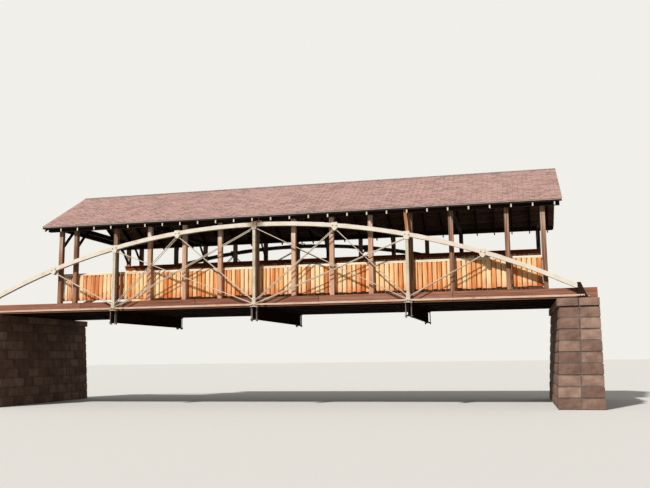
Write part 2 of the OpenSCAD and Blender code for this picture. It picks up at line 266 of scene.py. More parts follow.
def open_edit(piece, kind):
    """Opens edit mode for faces or edges with none selected, and returns the mesh in it."""
    choose(piece)
    bpy.ops.object.mode_set(mode="EDIT")
    bpy.ops.mesh.select_mode(type=kind)
    bpy.ops.mesh.select_all(action="DESELECT")
    return bmesh.from_edit_mesh(piece.data)


def edit_edges(piece, wanted):
    """Opens edit mode with the edges selected whose middle and direction the test wants."""
    mesh = open_edit(piece, "EDGE")
    for edge in mesh.edges:
        start, end = edge.verts[0].co, edge.verts[1].co
        edge.select_set(wanted((start + end) / 2, (end - start).normalized()))
    bmesh.update_edit_mesh(piece.data)


def leave_edit():
    """Goes back to object mode, which puts the edits into the piece."""
    bpy.ops.object.mode_set(mode="OBJECT")


print("edit helpers ready")

# %% [markdown]
# One piece is then copied in a row by an array modifier. A row of equal copies looks like a
# pattern, and a few millimetres of difference make it look built, so each copy also gets its own
# small differences: its points are read, moved and written back, and a tone is stored on them that
# its material reads. All random numbers come from one seeded source, so that the bridge is the
# same each time.

# %% Helpers for a row of copies
dice = np.random.default_rng(7)


def apply_modifier(piece, kind, **settings):
    """Adds a modifier, sets it and applies it."""
    modifier = piece.modifiers.new(kind.lower(), kind)
    for name, value in settings.items():
        setattr(modifier, name, value)
    choose(piece)
    bpy.ops.object.modifier_apply(modifier=modifier.name)


def repeat(piece, count, step):
    """Copies a piece count times in a row, each copy moved on by step."""
    apply_modifier(piece, "ARRAY", count=count, use_relative_offset=False,
                   use_constant_offset=True, constant_offset_displace=step)


def read_points(piece):
    """The places of a piece's points, one row for each."""
    points = np.empty(len(piece.data.vertices) * 3)
    piece.data.vertices.foreach_get("co", points)
    return points.reshape(-1, 3)


def write_points(piece, points):
    """Puts a piece's points in new places."""
    piece.data.vertices.foreach_set("co", points.reshape(-1))
    piece.data.update()


def fit_between(values, start, pitch, sides):
    """Moves the coordinates of equal copies in a row so that copy n fills the space from side n
    to side n + 1."""
    share = (values - start) / pitch - np.arange(len(values))[:, None]
    return sides[:-1, None] + share * np.diff(sides)[:, None]


def paint_tone(piece, tones):
    """Gives each copy in a piece a tone from 0, dark, to 1, light, which its material reads."""
    each = len(piece.data.vertices) // len(tones)
    tone = piece.data.attributes.new("tone", "FLOAT", "POINT")
    tone.data.foreach_set("value", np.repeat(tones, each))


print("row helpers ready")

# %% [markdown]
# ## Sawn wood
#
# Almost all of the bridge is rough-sawn wood. Three things make wood look sawn: broad streaks of a
# few centimetres that run with the grain, fibres between them, and a colour that changes from one
# board to the next. An image of wood would repeat. A noise doesn't, and when its coordinates are
# squeezed across the grain and stretched along it, its spots become streaks. Real fibres are finer
# than a millimetre, and are drawn in bundles of 6 mm, so that they show from across the bridge.

# %% Size and direction of the grain
STREAK_WIDTH = 0.035
STREAK_LENGTH = 1.2
FIBRE_WIDTH = 0.006
FIBRE_LENGTH = 0.25
ALONG_BRIDGE = 0
ACROSS_BRIDGE = 1
UPRIGHT = 2


def grain_scale(across, along, axis):
    """The scale of coordinates for a pattern of a width and a length in metres, its length along
    one axis."""
    scale = [1 / across] * 3
    scale[axis] = 1 / along
    return scale


print("streaks of", STREAK_WIDTH, "by", STREAK_LENGTH, "m, fibres of", FIBRE_WIDTH, "m")

# %% [markdown]
# A material for each kind of wood could be built node by node, but they differ in little. So one
# function makes every wood here, from its colours, the direction of its grain, and how much its
# boards differ. The streaks and the board's stored tone pick a colour between the darkest and the
# lightest, and the fibres darken it in fine lines and give it relief. Sawn wood is rough, and
# hardly shines. A noise's values crowd around the middle, so they are spread from there over the
# whole range.

# %% Sawn wood
FIBRE_DEPTH = 0.002
FIBRE_DARKEST = 0.72
FIBRE_LIGHTEST = 1.05
NOISE_LOW = 0.3
NOISE_HIGH = 0.7


def sawn_wood(name, stops, axis, differ=0.0):
    """Rough-sawn wood with its grain along an axis. Its stops run from its darkest to its lightest
    colour, and differ is the share of that range by which boards differ."""
    material, tree, surface = new_material(name, Roughness=0.85, Specular_IOR_Level=0.15)
    place = add_node(tree, "TexCoord").outputs["Object"]
    broad = add_node(tree, "Mapping", {
        "Vector": place, "Scale": grain_scale(STREAK_WIDTH, STREAK_LENGTH, axis)})
    streaks = add_node(tree, "TexNoise", {"Vector": broad.outputs[0], "Scale": 1, "Detail": 3})
    fine = add_node(tree, "Mapping", {
        "Vector": place, "Scale": grain_scale(FIBRE_WIDTH, FIBRE_LENGTH, axis)})
    fibres = add_node(tree, "TexNoise", {"Vector": fine.outputs[0], "Scale": 1, "Detail": 2})
    spread = add_node(tree, "MapRange", {
        "Value": streaks.outputs[0], "From Min": NOISE_LOW, "From Max": NOISE_HIGH,
        "To Min": 0, "To Max": 1 - differ})
    board = add_node(tree, "Attribute", attribute_name="tone")
    shift = add_node(tree, "Math", {
        0: board.outputs["Fac"], 1: differ, 2: spread.outputs[0]}, operation="MULTIPLY_ADD")
    colour = add_node(tree, "ValToRGB", {"Fac": shift.outputs[0]}, stops=stops)
    lines = add_node(tree, "MapRange", {
        "Value": fibres.outputs[0], "From Min": 0.35, "From Max": 0.6,
        "To Min": FIBRE_DARKEST, "To Max": FIBRE_LIGHTEST})
    grained = add_node(tree, "MixRGB", {
        "Fac": 1, "Color1": colour.outputs[0], "Color2": lines.outputs[0]}, blend_type="MULTIPLY")
    relief = add_node(tree, "Bump", {
        "Height": fibres.outputs[0], "Strength": 0.5, "Distance": FIBRE_DEPTH})
    tree.links.new(grained.outputs[0], surface.inputs["Base Color"])
    tree.links.new(relief.outputs[0], surface.inputs["Normal"])
    return material


print("fibres darken a board down to", FIBRE_DARKEST, "of its colour")

# %% [markdown]
# ## Railing of slab boards
#
# The orange-red boards along the walkway are slabs: the first cuts off a log, with a flat inside, a
# rounded outside and edges that wander a little. The rods throw shadows on them that break into
# small arcs, one on each board. A bump on a flat wall would show neither the arcs nor the ragged
# lower ends. So one slab is made from a block by rounding its two outer edges, cut across so that
# its sides can wander, and repeated along the rail. Then each copy gets its own width, its own
# lower end and its own tone. The front boards stand almost two centimetres apart, and the rear wall
# is closed.

# %% Railing boards
BOARD_PITCH = 0.145
FRONT_GAP = 0.018
REAR_GAP = 0.003
SLAB_ROUND = 0.036
SLAB_CUTS = (0.25, 0.5, 0.75)
BOARD_SHIFT = 0.012
END_WANDER = 0.035
SLAB_TONES = (1, 0.9)
RAIL_STRIP_H = 0.028


def slab_boards(name, node, gap):
    """A row of upright slabs in the box of a railing's node, with gaps between them and room for a
    strip above."""
    low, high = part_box(node)
    top = high.z - RAIL_STRIP_H
    count = round((high.x - low.x) / BOARD_PITCH)
    pitch = (high.x - low.x) / count
    outside = low.y if low.y < 0 else high.y
    first_high = (low.x + pitch - gap / 2, high.y, top)
    slab = add_block(name, (low.x + gap / 2, low.y, low.z), first_high)
    edit_edges(slab, lambda middle, way:
               abs(way.z) > ALONG_AXIS and abs(middle.y - outside) < NEAR)
    bpy.ops.mesh.bevel(offset=SLAB_ROUND, segments=3, affect="EDGES")
    for part in SLAB_CUTS:
        bpy.ops.mesh.select_all(action="SELECT")
        bpy.ops.mesh.bisect(plane_co=(0, 0, low.z + part * (top - low.z)), plane_no=(0, 0, 1))
    leave_edit()
    repeat(slab, count, (pitch, 0, 0))
    points = read_points(slab).reshape(count, -1, 3)
    sides = low.x + pitch * np.arange(count + 1)
    sides[1:-1] += dice.uniform(-BOARD_SHIFT, BOARD_SHIFT, count - 1)
    points[:, :, 0] = fit_between(points[:, :, 0], low.x, pitch, sides)
    points[:, :, 0] += dice.uniform(-gap / 4, gap / 4, points.shape[:2])
    lower_end = points[:, :, 2] < low.z + NEAR
    points[:, :, 2] += lower_end * dice.uniform(0, END_WANDER, (count, 1))
    write_points(slab, points)
    paint_tone(slab, dice.beta(*SLAB_TONES, count))
    print(name, "has", count, "boards", round(pitch * 1000), "mm apart")
    return slab


railings = {"front": slab_boards("front_slab_boards", "front_railing_boards", FRONT_GAP),
            "rear": slab_boards("rear_slab_boards", "rear_railing_boards", REAR_GAP)}

# %% [markdown]
# The slabs' stain has thinned to a warm yellow-orange where sun and rain reach it, and holds as a
# deep red-brown near the floor, where each slab is shaded and splashed. Two woods with a line
# between them would look painted. So one wood is darkened towards its lower end, and a noise of
# 200 mm makes the edge of that darkening uneven.

# %% Stain on the slab boards
SPLASH_OVER_FLOOR = 0.1
SPLASH_FADE = 0.5
FADE_EDGE_MM = 200


def darken_below(material, level, height, dark):
    """Darkens a wood below a level, with an uneven edge of a given height in metres."""
    tree = material.node_tree
    surface = tree.nodes["Principled BSDF"]
    clean = surface.inputs["Base Color"].links[0].from_socket
    place = add_node(tree, "TexCoord").outputs["Object"]
    edge = add_node(tree, "TexNoise", {
        "Vector": place, "Scale": spots(FADE_EDGE_MM), "Detail": 4})
    up = add_node(tree, "SeparateXYZ", {"Vector": place})
    uneven = add_node(tree, "Math", {
        0: edge.outputs[0], 1: height, 2: up.outputs["Z"]}, operation="MULTIPLY_ADD")
    clean_share = add_node(tree, "MapRange", {
        "Value": uneven.outputs[0], "From Min": level, "From Max": level + height})
    wet = add_node(tree, "MixRGB", {
        "Fac": 1, "Color1": clean, "Color2": linear(dark)}, blend_type="MULTIPLY")
    stained = add_node(tree, "MixRGB", {
        "Fac": clean_share.outputs[0], "Color1": wet.outputs[0], "Color2": clean})
    tree.links.new(stained.outputs[0], surface.inputs["Base Color"])


def hand_over(piece, material, slot, *stands_for):
    """Gives a finished piece its material, lets it ride on the bridge, and hides the nodes that it
    stands for."""
    piece.data.materials.clear()
    piece.data.materials.append(material)
    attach(piece, "root")
    if stands_for:
        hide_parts(*stands_for)
    print(piece.name, "has", len(piece.data.polygons), "faces")


# Pine slabs under a thin red stain: matt, glowing orange in the sun, each board its own tone
slab_stops = [(0, "#9e4621"), (0.24, "#da8244"), (0.5, "#fabd7e"), (1, "#ffe8ba")]
red_slabs = sawn_wood("stained_pine_slabs", slab_stops, UPRIGHT, differ=0.66)
darken_below(red_slabs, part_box("deck")[1].z + SPLASH_OVER_FLOOR, SPLASH_FADE, "#dd9c7c")
for side, boards in railings.items():
    hand_over(boards, red_slabs, "red_boards", side + "_railing_boards")

# %% [markdown]
# ## Floor planks and edge boards
#
# The walkway's floor is a row of thick planks across the stringers. Along each edge of the floor a
# deep board is nailed over the planks' ends, in lengths of about four metres. Lines drawn on one
# slab would show no gaps from the side. So both are rows of blocks with small gaps, and their edges
# are broken by a bevel, because sawn wood that people walk on has no sharp edge. A few planks lie
# a millimetre or two lower than their neighbours.

# %% Floor planks and edge boards
PLANK_PITCH = 0.19
PLANK_GAP = 0.008
PLANK_BEVEL = 0.006
PLANK_SINK = 0.002
EDGE_BOARD_L = 4.06
EDGE_BOARD_BEVEL = 0.008


def plank_row(name, low, high, pitch, bevel, sink=0.0):
    """Planks in a row along X between two corners, their edges broken. Each lies up to sink lower
    than the top."""
    count = round((high[0] - low[0]) / pitch)
    pitch = (high[0] - low[0]) / count
    first_high = (low[0] + pitch - PLANK_GAP / 2, high[1], high[2])
    plank = add_block(name, (low[0] + PLANK_GAP / 2, low[1], low[2]), first_high)
    apply_modifier(plank, "BEVEL", width=bevel, segments=1)
    repeat(plank, count, (pitch, 0, 0))
    points = read_points(plank).reshape(count, -1, 3)
    points[:, :, 2] -= dice.uniform(0, sink, (count, 1))
    write_points(plank, points)
    paint_tone(plank, dice.uniform(0, 1, count))
    return plank


# Old larch, painted almost black as painted shade for the underside of the walkway: a dull dark
# brown-grey, with planks that differ strongly
larch_stops = [(0, "#2b1d17"), (0.5, "#46332a"), (1, "#655044")]
larch_planks = sawn_wood("shade_darkened_larch_planks", larch_stops, ACROSS_BRIDGE, differ=0.6)
planks = plank_row("floor_planks", *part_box("deck"), PLANK_PITCH, PLANK_BEVEL, PLANK_SINK)
hand_over(planks, larch_planks, "floor_timber", "deck")

# Edge boards of the same wood, which the sun has turned brown-red
edge_stops = [(0, "#6e4130"), (0.5, "#91604b"), (1, "#ab7a64")]
larch_edge = sawn_wood("sunned_larch_edge", edge_stops, ALONG_BRIDGE, differ=0.3)
for side in ("front", "rear"):
    edge = plank_row(side + "_edge_boards", *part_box(side + "_fascia"), EDGE_BOARD_L,
                     EDGE_BOARD_BEVEL)
    hand_over(edge, larch_edge, "floor_timber", side + "_fascia")

# %% [markdown]
# ## Two sides and many courses
#
# The roof and the trusses are the same at the front and at the rear, but for their finish. A
# mirrored copy would have its faces inside out, so a copy is turned half round instead, and has a
# mesh of its own. Pieces that were made apart, such as a plate and its rivets, are joined into one.

# %% Copies, joins and turns
def copied(name, piece):
    """A copy of a piece, with a mesh of its own."""
    copy = piece.copy()
    copy.data = piece.data.copy()
    copy.name = name
    bpy.context.collection.objects.link(copy)
    return copy


def join(name, pieces):
    """Makes one piece of several."""
    choose(pieces[0])
    for piece in pieces[1:]:
        piece.select_set(True)
    bpy.ops.object.join()
    pieces[0].name = name
    return pieces[0]


def turned_round(name, piece, middle_x):
    """A copy of a piece, turned half round about an upright axis on the X axis."""
    turned = copied(name, piece)
    move_to(turned, turn=(0, 0, math.pi), place=(2 * middle_x, 0, 0))
    return turned


print("copy helpers ready")

# %% [markdown]
# Roof boards, shingles and wall stones are all laid the same way: in courses with their joints
# staggered, so that every second course starts and ends with half a piece. Placing each piece in a
# loop would make thousands of objects. Two courses are made instead, a whole one and a shifted
# one, and each is repeated over every second row. The shifted course's ends are squeezed into
# the halves that are left.

# %% Courses
def lay_courses(name, unit, rows, per_row, start, pitch, step, parts=1):
    """Copies a unit into staggered courses, from start along X by pitch and up Y by step. Each of
    the unit's parts gets its own tone."""
    layers = []
    for shifted in (0, 1):
        count = per_row + shifted
        course = copied(name, unit)
        repeat(course, count, (pitch, 0, 0))
        points = read_points(course).reshape(count, -1, 3)
        sides = pitch * (np.arange(count + 1) - shifted / 2)
        sides = start + np.clip(sides, 0, per_row * pitch)
        points[:, :, 0] = fit_between(points[:, :, 0], 0, pitch, sides)
        points[:, :, 1] += shifted * step
        write_points(course, points)
        courses = (rows + 1 - shifted) // 2
        repeat(course, courses, (0, 2 * step, 0))
        paint_tone(course, dice.uniform(0, 1, count * courses * parts))
        layers.append(course)
    bpy.data.objects.remove(unit)
    print(name, "has", rows, "courses of", per_row)
    return join(name, layers)


print("course helper ready")

# %% [markdown]
# ## Roof boards
#
# The shingles lie on boards that run along the roof, nailed across the rafters. Only their
# undersides and ends show. They could be modelled in place, at the roof's slope, but a sloping
# block is hard to measure. So the front slope is made lying flat, with its eave on the X axis, and
# is then tilted into place. The rear slope is the front one turned by half a turn, as the rear
# roofer would have walked round to lay it.

# %% Roof boards
ROOF_PITCH = math.radians(29)
ROOF_BOARD_T = 0.022
ROOF_BOARD_GAP = 0.005
ROOF_BOARD_BEVEL = 0.003
ROOF_BOARD_ROWS = 20
ROOF_BOARDS_PER_ROW = 5

roof_low, roof_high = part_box("front_roof_boards")
roof_middle = (roof_low.x + roof_high.x) / 2
ridge_z = roof_high.z


def tilt_onto_roof(piece, eave_y):
    """Turns a piece that lies flat, its eave on the X axis, up onto the front slope."""
    eave_z = ridge_z + eave_y * math.tan(ROOF_PITCH)
    move_to(piece, turn=(ROOF_PITCH, 0, 0), place=(0, eave_y, eave_z))


board_slope = -roof_low.y / math.cos(ROOF_PITCH) - ROOF_BOARD_T * math.tan(ROOF_PITCH)
board_w = board_slope / ROOF_BOARD_ROWS
board_l = (roof_high.x - roof_low.x) / ROOF_BOARDS_PER_ROW
board = add_block("roof_board", (ROOF_BOARD_GAP / 2, ROOF_BOARD_GAP / 2, -ROOF_BOARD_T),
                  (board_l - ROOF_BOARD_GAP / 2, board_w - ROOF_BOARD_GAP / 2, 0))
apply_modifier(board, "BEVEL", width=ROOF_BOARD_BEVEL, segments=1)
front_boards = lay_courses("front_roof_boarding", board, ROOF_BOARD_ROWS, ROOF_BOARDS_PER_ROW,
                           roof_low.x, board_l, board_w)
tilt_onto_roof(front_boards, roof_low.y)
rear_boards = turned_round("rear_roof_boarding", front_boards, roof_middle)

# Plain brown roof pine, which the shade inside the roof turns almost black
inside_stops = [(0, "#52403a"), (0.5, "#806458"), (1, "#9d8172")]
inside_pine = sawn_wood("brown_roof_pine", inside_stops, ALONG_BRIDGE, differ=0.5)
hand_over(front_boards, inside_pine, "post_timber", "front_roof_boards")
hand_over(rear_boards, inside_pine, "post_timber", "rear_roof_boards")

# %% [markdown]
# ## Shingles
#
# The roof is covered with mineral-faced shingles. Each course hides the upper part of the one
# below, so every tab's lower end stands a few millimetres proud, and low sun draws fine lines along
# the courses and slots between the tabs. A bump pattern would vanish at the eave and the gables,
# where the edges show, so every tab is a real one: about 2400 of them, each a block whose lower end
# is lifted and whose lower corners are cut.

# %% Shingle tabs
TAB_COURSES = 22
TABS_PER_ROW = 55
TAB_T = 0.005
TAB_SLOT = 0.012
TAB_LAP = 0.03
TAB_CORNER = 0.012
RIDGE_SLOT = 0.004


def edit_faces(piece, wanted):
    """Opens edit mode with the faces selected whose middle and normal the test wants."""
    mesh = open_edit(piece, "FACE")
    for face in mesh.faces:
        face.select_set(wanted(face.calc_center_median(), face.normal))
    bmesh.update_edit_mesh(piece.data)


tab_low, tab_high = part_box("front_shingles")
tab_pitch = (tab_high.x - tab_low.x) / TABS_PER_ROW
tab_slope = -tab_low.y / math.cos(ROOF_PITCH)
tab_step = tab_slope / TAB_COURSES
tab_far_corner = (tab_pitch - TAB_SLOT / 2, tab_step + TAB_LAP, TAB_T)
tab = add_block("tab", (TAB_SLOT / 2, 0, 0), tab_far_corner)
edit_faces(tab, lambda middle, normal: normal.y < -ALONG_AXIS)
bpy.ops.transform.translate(value=(0, 0, TAB_T))
leave_edit()
edit_edges(tab, lambda middle, way: abs(way.z) > ALONG_AXIS and middle.y < NEAR)
bpy.ops.mesh.bevel(offset=TAB_CORNER, segments=1, affect="EDGES")
leave_edit()
front_tabs = lay_courses("front_shingle_tabs", tab, TAB_COURSES, TABS_PER_ROW, tab_low.x,
                         tab_pitch, tab_step)
points = read_points(front_tabs)
points[:, 1] = np.minimum(points[:, 1], tab_slope - RIDGE_SLOT)
write_points(front_tabs, points)
tilt_onto_roof(front_tabs, tab_low.y)
rear_tabs = turned_round("rear_shingle_tabs", front_tabs, roof_middle)
print("tabs are", round(tab_pitch * 1000), "mm wide and show", round(tab_step * 1000), "mm")

# %% [markdown]
# Shingle granules are crushed stone in several colours, pressed into asphalt. From a distance they
# blend to a dusty brown-pink with grey-green in it, and each tab has its own share of them. One
# flat colour would look like paint. Three things make it stone: grains, blotches as wide as a hand,
# and the tone of each tab. Real grains are one or two millimetres wide, and are drawn at 4 mm, so
# that they show. Granules scatter light, so the surface is rough and hardly shines.

# %% Shingle granules
GRANULE_MM = 4
GRANULE_DEPTH = 0.002
BLOTCH_MM = 110
TAB_DIFFER = 0.18


def granule_shingle(name, stops):
    """Asphalt shingle with a face of crushed stone, whose stops run through the colours of its
    granules."""
    material, tree, surface = new_material(name, Roughness=0.92, Specular_IOR_Level=0.2)
    place = add_node(tree, "TexCoord").outputs["Object"]
    grains = add_node(tree, "TexNoise", {
        "Vector": place, "Scale": spots(GRANULE_MM), "Detail": 2})
    blotches = add_node(tree, "TexNoise", {
        "Vector": place, "Scale": spots(BLOTCH_MM), "Detail": 4, "Roughness": 0.75})
    tab_tone = add_node(tree, "Attribute", attribute_name="tone")
    blend = add_node(tree, "Math", {
        0: tab_tone.outputs["Fac"], 1: TAB_DIFFER, 2: blotches.outputs[0]},
        operation="MULTIPLY_ADD")
    centred = add_node(tree, "Math", {
        0: blend.outputs[0], 1: TAB_DIFFER / 2}, operation="SUBTRACT")
    colour = add_node(tree, "ValToRGB", {"Fac": centred.outputs[0]}, stops=stops)
    sparkle = add_node(tree, "MapRange", {
        "Value": grains.outputs[0], "From Min": 0.35, "From Max": 0.65,
        "To Min": 0.8, "To Max": 1.12})
    faced = add_node(tree, "MixRGB", {
        "Fac": 1, "Color1": colour.outputs[0], "Color2": sparkle.outputs[0]},
        blend_type="MULTIPLY")
    relief = add_node(tree, "Bump", {
        "Height": grains.outputs[0], "Strength": 0.6, "Distance": GRANULE_DEPTH})
    tree.links.new(faced.outputs[0], surface.inputs["Base Color"])
    tree.links.new(relief.outputs[0], surface.inputs["Normal"])
    return material


# Asphalt shingle with brown, pink and grey-green granules: matt, and speckled like sand
shingle_face = granule_shingle("brown_pink_shingle", [
    (0.28, "#7b685f"), (0.42, "#967970"), (0.5, "#a8857b"), (0.6, "#b28d84"), (0.72, "#ab9786")])
hand_over(front_tabs, shingle_face, "shingles", "front_shingles")
hand_over(rear_tabs, shingle_face, "shingles", "rear_shingles")

# %% [markdown]
# ## Ridge caps
#
# Where the slopes meet, single tabs are bent over the ridge, each lapping the one before. Flat caps
# on each side would leave a gap along the top. So a cap is a block that is cut into strips along
# its length, repeated along the ridge, and then dropped over a smooth curve that runs into both
# slopes.

# %% Ridge caps
RIDGE_CAP_L = 0.19
RIDGE_CAP_STEP = 0.14
RIDGE_CAP_HALF_W = 0.13
RIDGE_CAP_T = 0.005
RIDGE_CAP_LIFT = 0.009
RIDGE_CAP_CUTS = (-0.05, -0.02, 0, 0.02, 0.05)
RIDGE_ROUND = 0.02

caps_l = tab_high.x - tab_low.x - RIDGE_CAP_L
cap_count = round(caps_l / RIDGE_CAP_STEP) + 1
caps = add_block("ridge_caps", (0, -RIDGE_CAP_HALF_W, 0),
                 (RIDGE_CAP_L, RIDGE_CAP_HALF_W, RIDGE_CAP_T))
edit_faces(caps, lambda middle, normal: normal.x > ALONG_AXIS)
bpy.ops.transform.translate(value=(0, 0, RIDGE_CAP_T))
for y in RIDGE_CAP_CUTS:
    bpy.ops.mesh.select_all(action="SELECT")
    bpy.ops.mesh.bisect(plane_co=(0, y, 0), plane_no=(0, 1, 0))
leave_edit()
repeat(caps, cap_count, (caps_l / (cap_count - 1), 0, 0))
points = read_points(caps)
points[:, 0] += tab_low.x
fall = math.tan(ROOF_PITCH) * np.sqrt(points[:, 1] ** 2 + RIDGE_ROUND ** 2)
points[:, 2] = ridge_z + (RIDGE_CAP_LIFT + points[:, 2]) / math.cos(ROOF_PITCH) - fall
write_points(caps, points)
paint_tone(caps, dice.uniform(0, 1, cap_count))

# The same shingle, greyer where it lies flat and weathers more
ridge_face = granule_shingle("grey_brown_ridge_shingle", [
    (0.25, "#6e605b"), (0.5, "#897870"), (0.75, "#9d8d82")])
hand_over(caps, ridge_face, "shingles")

# %% [markdown]
# ## Eave strips in painted shade
#
# Along the eaves a dark strip of wood closes the edge of the roof boards and covers the upper part
# of the rafters' tails. Its near-black colour is painted shade: it stands for the shadow that the
# edge of the roof throws on the tops of the tails, and from the ground it is the line between the
# lit roof and the shade below. It is thin, and could be a plain block, but strips come in lengths,
# so it is laid as a row with joints, by the helper that laid the edge boards.

# %% Eave strips
EAVE_STRIP_T = 0.008
EAVE_STRIP_H = 0.085
EAVE_STRIP_L = 4.1
EAVE_STRIP_BEVEL = 0.001

eave_top = ridge_z + roof_low.y * math.tan(ROOF_PITCH)
eave_front = roof_low.y - EAVE_STRIP_T
strip = plank_row("front_eave_shade_strip", (roof_low.x, eave_front, eave_top - EAVE_STRIP_H),
                  (roof_high.x, roof_low.y, eave_top), EAVE_STRIP_L, EAVE_STRIP_BEVEL)

# Roof timber painted almost black as painted shade, with its grain just visible; on the eave strips
# it stands for the shadow of the roof's edge
painted_shade_stops = [(0, "#171010"), (0.5, "#271b18"), (1, "#3d2c26")]
dark_lengthwise = sawn_wood("shade_darkened_plates", painted_shade_stops, ALONG_BRIDGE)
rear_strip = turned_round("rear_eave_shade_strip", strip, roof_middle)
hand_over(rear_strip, dark_lengthwise, "post_timber")
hand_over(strip, dark_lengthwise, "post_timber")

# %% [markdown]
# ## Drip edges
#
# In front of each eave strip a folded metal drip edge leads the rain clear of the wood, and catches
# the sun as a thin pale line under the shingles. A bright line painted on the strip would not stand
# out from it when seen from the side. So a long thin block gets its lower edge drawn out and
# forward, as a sheet is folded.

# %% Drip edges
DRIP_T = 0.002
DRIP_DEPTH = 0.034
DRIP_RISE = 0.002
DRIP_KICK = 0.003
COAT_PATCH_MM = 170

drip = add_block("front_drip_edge", (roof_low.x, eave_front - DRIP_T, eave_top - DRIP_DEPTH),
                 (roof_high.x, eave_front, eave_top + DRIP_RISE))
edit_faces(drip, lambda middle, normal: normal.z < -ALONG_AXIS)
bpy.ops.mesh.extrude_region_move(
    TRANSFORM_OT_translate={"value": (0, -DRIP_KICK, -DRIP_KICK)})
leave_edit()


def coated_metal(name, dull, bright):
    """Factory-coated sheet metal: smooth, half matt, and dulled by weather in soft patches."""
    material, tree, surface = new_material(name, Roughness=0.5, Specular_IOR_Level=0.4)
    place = add_node(tree, "TexCoord").outputs["Object"]
    patches = add_node(tree, "TexNoise", {
        "Vector": place, "Scale": spots(COAT_PATCH_MM), "Detail": 4})
    colour = add_node(tree, "ValToRGB", {
        "Fac": patches.outputs[0]}, stops=[(0.35, dull), (0.65, bright)])
    tree.links.new(colour.outputs[0], surface.inputs["Base Color"])
    return material


# Coated steel sheet, half matt: a soft pale line that never glints
drip_metal = coated_metal("coated_drip_metal", "#857970", "#a3968a")
rear_drip = turned_round("rear_drip_edge", drip, roof_middle)
hand_over(rear_drip, drip_metal, "shingles")
hand_over(drip, drip_metal, "shingles")

# %% [markdown]
# ## Roof timbers in painted shade, with pale lit ends
#
# Rafters, plates, tie beams and braces are painted almost black like the eave strips, as painted
# shade for the dark under the roof. Only the rafters' sawn tails show pale bare wood, and the sun
# picks them out as a row of pale dots under the eave, so the lit ends and the shaded sides of one
# timber are painted apart. A pale cap on each tail would be one more piece to fit. But the ends
# face straight along Y, and no other face of a rafter does, so the material finds them by the
# direction of the face.

# %% Roof timbers
SAWN_RINGS_MM = 22


def add_pale_lit_ends(material, bare):
    """Shows pale bare wood on the faces that look along Y, as on the sawn-off tails of rafters,
    against the painted shade of the other faces.
    """
    tree = material.node_tree
    surface = tree.nodes["Principled BSDF"]
    stained = surface.inputs["Base Color"].links[0].from_socket
    place = add_node(tree, "TexCoord")
    way = add_node(tree, "SeparateXYZ", {"Vector": place.outputs["Normal"]})
    size = add_node(tree, "Math", {0: way.outputs["Y"]}, operation="ABSOLUTE")
    is_end = add_node(tree, "Math", {
        0: size.outputs[0], 1: ALONG_AXIS}, operation="GREATER_THAN")
    rings = add_node(tree, "TexNoise", {
        "Vector": place.outputs["Object"], "Scale": spots(SAWN_RINGS_MM), "Detail": 3})
    wood = add_node(tree, "ValToRGB", {"Fac": rings.outputs[0]}, stops=bare)
    shown_colour = add_node(tree, "MixRGB", {
        "Fac": is_end.outputs[0], "Color1": stained, "Color2": wood.outputs[0]})
    tree.links.new(shown_colour.outputs[0], surface.inputs["Base Color"])


def finish_nodes(material, *names):
    """Gives nodes of the frame a material."""
    for name in names:
        shape = nodes[name].data
        shape.materials.clear()
        shape.materials.append(material)
    print(material.name, "on", ", ".join(names))


# Painted shade, almost black, on timbers that run across the bridge, and pale bare pine on the sawn
# tails that the sun reaches
dark_rafters = sawn_wood("shade_darkened_rafters", painted_shade_stops, ACROSS_BRIDGE)
add_pale_lit_ends(dark_rafters, [(0.3, "#bda88e"), (0.7, "#e6d8c4")])
finish_nodes(dark_rafters, "front_rafters", "rear_rafters")
# The same painted shade on the plates, the ridge board and the stringers under the walkway
finish_nodes(dark_lengthwise, "front_plate", "rear_plate", "ridge_board", "stringers")

# The same painted shade on ties and braces, their ends dark as well
dark_crosswise = sawn_wood("shade_darkened_ties", painted_shade_stops, ACROSS_BRIDGE)
finish_nodes(dark_crosswise, "tie_beams", "front_knee_braces", "rear_knee_braces")

# %% [markdown]
# ## Weathered posts
#
# The roof's posts are square timbers that stand in sun and rain. Their stain is gone, and the wood
# has turned to a pale brown-grey, palest near the eave. The posts that stand in shade are painted
# darker, as painted shade: the end ones, the ones behind the iron posts, and those of the rear
# side. A material alone would leave their edges knife sharp. So each post is a block with its edges
# planed off by a bevel, and each edge draws a thin light line. The posts stand where the frame has
# them, and not all are equally far apart.

# %% Roof posts
POST_BEVEL = 0.009
# The rear posts' tones start from 0, which paints shade on them
POST_TONES = {"front": 0.55, "rear": 0.0}
POST_TONE_SPREAD = 0.45
POST_PAINTED_SHADE_TONE = 0.2
POST_BLEACH_Z = 5.2
POST_BLEACH_FADE = 0.3
END_PAINTED_SHADE_REACH = 2.8

beams = ("floor_beam_left", "floor_beam_middle", "floor_beam_right")
iron_posts_x = [(low.x + high.x) / 2 for low, high in map(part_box, beams)]


def post_row(name, node, tone_low):
    """Square timbers with broken edges, one for each solid in a row of posts. Those at the ends and
    those behind the iron posts get a darker tone, as painted shade."""
    low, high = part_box(node)
    ends = np.unique(np.round(read_points(nodes[node])[:, 0], 4)).reshape(-1, 2)
    count = len(ends)
    post_w = ends[0][1] - ends[0][0]
    post = add_block(name, low, (ends[0][1], high.y, high.z))
    apply_modifier(post, "BEVEL", width=POST_BEVEL, segments=1)
    # The copies first stand one metre apart, and each is then moved to its solid in the node
    repeat(post, count, (1, 0, 0))
    points = read_points(post).reshape(count, -1, 3)
    points[:, :, 0] += (ends[:, 0] - ends[0][0] - np.arange(count))[:, None]
    write_points(post, points)
    tones = dice.uniform(tone_low, tone_low + POST_TONE_SPREAD, count)
    middles = ends.mean(axis=1)
    # Posts at the ends and behind the iron posts are darkened as painted shade
    shaded = np.abs(middles) > middles[-1] - END_PAINTED_SHADE_REACH
    for x in iron_posts_x:
        shaded |= np.abs(middles - x) < post_w
    tones[shaded] *= POST_PAINTED_SHADE_TONE
    paint_tone(post, tones)
    return post
